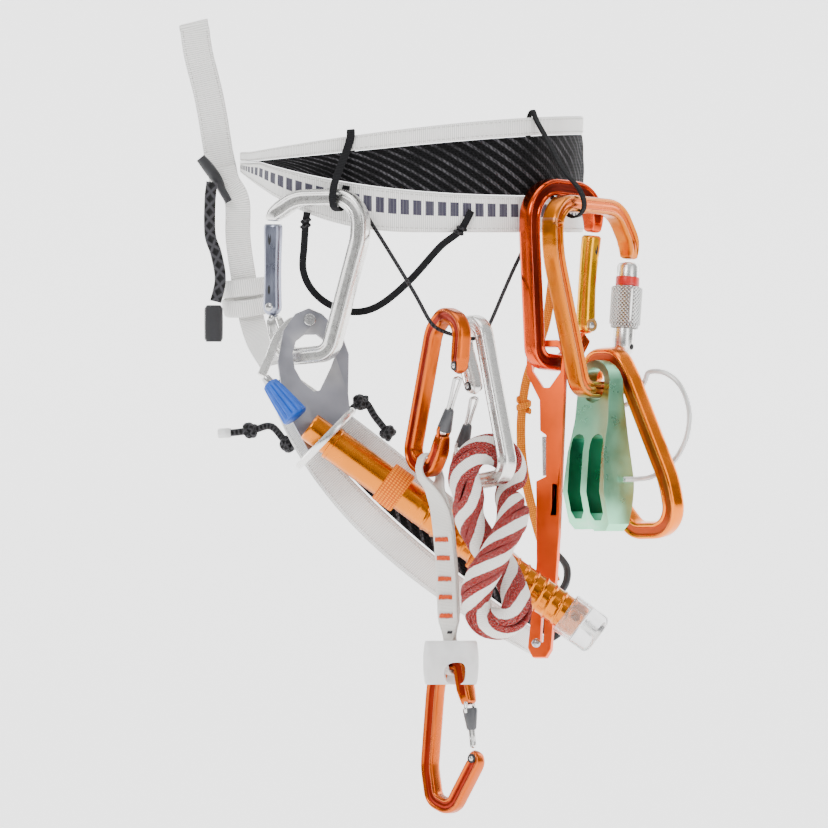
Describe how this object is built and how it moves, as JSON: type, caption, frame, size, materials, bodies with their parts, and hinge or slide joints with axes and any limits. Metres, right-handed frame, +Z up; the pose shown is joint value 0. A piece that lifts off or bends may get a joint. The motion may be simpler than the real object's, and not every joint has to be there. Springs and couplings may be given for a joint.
{
  "type": "climbing harness",
  "caption": "Padded waist belt with tie-in loop and adjustable leg loops, with karabiners, ice screw, quickdraw, belay plate, cord hank and hook tool racked on its side.",
  "frame": {"origin": "top of the tie-in loop, the point where the harness hangs", "axes": "+Z up as it hangs, +X towards the wearer's back, -Y towards the wearer's left, the side that carries the gear"},
  "size_m": [0.2849, 0.3215, 0.4417],
  "materials": {
    "white_webbing": "woven nylon tape, matt",
    "black_mesh": "open spacer mesh",
    "black_webbing": "woven tape, matt",
    "black_cord": "braided cord, matt",
    "black_plastic": "moulded, satin",
    "orange_elastic": "woven elastic",
    "woven_holder": "woven elastic tape",
    "silver_aluminium": "polished",
    "grey_aluminium": "satin anodised",
    "orange_anodised": "anodised gloss",
    "red_anodised": "anodised gloss",
    "gold_anodised": "anodised gloss",
    "green_anodised": "anodised gloss",
    "steel": "bright",
    "blue_plastic": "moulded, ribbed",
    "clear_rubber": "translucent moulded",
    "striped_cord": "braided accessory cord, white and dark red"
  },
  "bodies": {
    "silver_gate": {"silver_karabiner_gate": "grey_aluminium"},
    "gate_a": {"karabiner_a_gate": "gold_anodised"},
    "gate_b": {"karabiner_b_gate": "silver_aluminium"},
    "sleeve_b": {"karabiner_b_sleeve": "silver_aluminium"},
    "gate_c": {"karabiner_c_gate": "silver_aluminium"},
    "sleeve_c": {"karabiner_c_sleeve": "silver_aluminium"},
    "gate_upper": {"quickdraw_upper_gate": "black_plastic"},
    "sling": {"sling": "white_webbing", "rubber_keeper": "clear_rubber", "quickdraw_lower_body": "orange_anodised"},
    "gate_lower": {"quickdraw_lower_gate": "black_plastic"},
    "gate_wire": {"wiregate_karabiner_gate": "black_plastic"},
    "crank": {"ice_screw_crank_arm": "steel"},
    "knob": {"ice_screw_crank_knob": "blue_plastic"},
    "cap": {"ice_screw_cap": "clear_rubber"},
    "hook": {"channel_tool_hook": "steel"},
    "harness": {"belay_cable_keeper": "clear_rubber", "belay_device_body": "green_anodised", "belt_lower_band": "white_webbing", "belt_mesh_panel": "black_mesh", "belt_top_band": "white_webbing", "channel_tool_blade": "steel", "channel_tool_body": "orange_anodised", "channel_tool_rivet": "steel", "cord_hank": "striped_cord", "gear_loop_left": "black_webbing", "gear_loop_right": "black_webbing", "girth_hitch": "white_webbing", "ice_screw_hanger": "grey_aluminium", "ice_screw_rivet": "steel", "ice_screw_tube": "orange_anodised", "karabiner_a_body": "red_anodised", "karabiner_b_body": "orange_anodised", "karabiner_c_body": "orange_anodised", "keeper_strap_front": "black_webbing", "keeper_strap_rear": "black_webbing", "lanyard_braid": "black_cord", "lanyard_end_cap": "black_plastic", "leg_left_closure_cord": "black_cord", "leg_left_lower_band": "white_webbing", "leg_left_mesh": "black_mesh", "leg_left_upper_band": "white_webbing", "leg_right_closure_cord": "black_cord", "leg_right_lower_band": "white_webbing", "leg_right_mesh": "black_mesh", "leg_right_upper_band": "white_webbing", "quickdraw_upper_body": "orange_anodised", "rear_hook_left": "black_plastic", "rear_hook_right": "black_plastic", "rear_riser_left": "orange_elastic", "rear_riser_right": "orange_elastic", "riser_left": "white_webbing", "riser_right": "white_webbing", "screw_holder_lower": "woven_holder", "screw_holder_upper": "woven_holder", "silver_karabiner_body": "silver_aluminium", "thin_gear_cord": "black_cord", "tie_in_loop": "white_webbing", "toggle_peg": "black_plastic", "wiregate_karabiner_body": "silver_aluminium"}
  },
  "joints": [
    {"name": "silver_gate_hinge", "type": "hinge", "parent": "harness", "child": "silver_gate", "pos_m": [0.0436, -0.10848, -0.1595], "axis": [0.454, 0.891, 0], "range_deg": [0, 16], "stiffness_Nm_per_rad": 0.05, "springref_deg": -57.3},
    {"name": "karabiner_a_gate_hinge", "type": "hinge", "parent": "harness", "child": "gate_a", "pos_m": [0.2175, -0.08816, -0.1695], "axis": [0.682, -0.7314, 0], "range_deg": [0, 25], "stiffness_Nm_per_rad": 0.05, "springref_deg": -57.3},
    {"name": "karabiner_b_gate_hinge", "type": "hinge", "parent": "harness", "child": "gate_b", "pos_m": [0.2384, -0.07938, -0.1815], "axis": [0.829, -0.5592, 0], "range_deg": [0, 18], "stiffness_Nm_per_rad": 0.05, "springref_deg": -57.3},
    {"name": "karabiner_b_sleeve_slide", "type": "slide", "parent": "gate_b", "child": "sleeve_b", "axis": [0.0669, 0.0992, 0.9928], "range_m": [0, 0.008]},
    {"name": "karabiner_c_gate_hinge", "type": "hinge", "parent": "harness", "child": "gate_c", "pos_m": [0.2242, -0.07532, -0.208], "axis": [-0.6971, -0.6971, -0.1676], "range_deg": [0, 22], "stiffness_Nm_per_rad": 0.05, "springref_deg": -57.3},
    {"name": "karabiner_c_sleeve_slide", "type": "slide", "parent": "gate_c", "child": "sleeve_c", "axis": [0.1995, 0.036, -0.9792], "range_m": [0, 0.009]},
    {"name": "quickdraw_upper_gate_hinge", "type": "hinge", "parent": "harness", "child": "gate_upper", "pos_m": [0.1463, -0.17643, -0.2], "axis": [0.8191, 0.5736, 0], "range_deg": [0, 25], "stiffness_Nm_per_rad": 0.01, "springref_deg": -57.3},
    {"name": "sling_swing", "type": "hinge", "parent": "harness", "child": "sling", "pos_m": [0.1302, -0.1534, -0.2486], "axis": [0.5739, -0.8189, 0], "range_deg": [-14, 2]},
    {"name": "quickdraw_lower_gate_hinge", "type": "hinge", "parent": "sling", "child": "gate_lower", "pos_m": [0.155, -0.16988, -0.4025], "axis": [-0.6157, -0.788, 0], "range_deg": [0, 25], "stiffness_Nm_per_rad": 0.01, "springref_deg": -57.3},
    {"name": "wiregate_gate_hinge", "type": "hinge", "parent": "harness", "child": "gate_wire", "pos_m": [0.1555, -0.15557, -0.211], "axis": [-0.8191, -0.5736, 0], "range_deg": [0, 22], "stiffness_Nm_per_rad": 0.01, "springref_deg": -57.3},
    {"name": "crank_swing", "type": "hinge", "parent": "harness", "child": "crank", "pos_m": [0.0639, -0.11666, -0.167], "axis": [-0.1517, 0.9661, -0.2087], "range_deg": [0, 40]},
    {"name": "crank_knob_flip", "type": "hinge", "parent": "crank", "child": "knob", "pos_m": [0.0413, -0.13639, -0.20071], "axis": [-0.7975, -0.2444, -0.5516], "range_deg": [0, 90]},
    {"name": "cap_pull", "type": "slide", "parent": "harness", "child": "cap", "axis": [0.8085, 0, -0.5885], "range_m": [0, 0.04]},
    {"name": "tool_hook_fold", "type": "hinge", "parent": "harness", "child": "hook", "pos_m": [0.19213, -0.12142, -0.34701], "axis": [0.2571, 0.9595, -0.1151], "range_deg": [0, 60]}
  ]
}
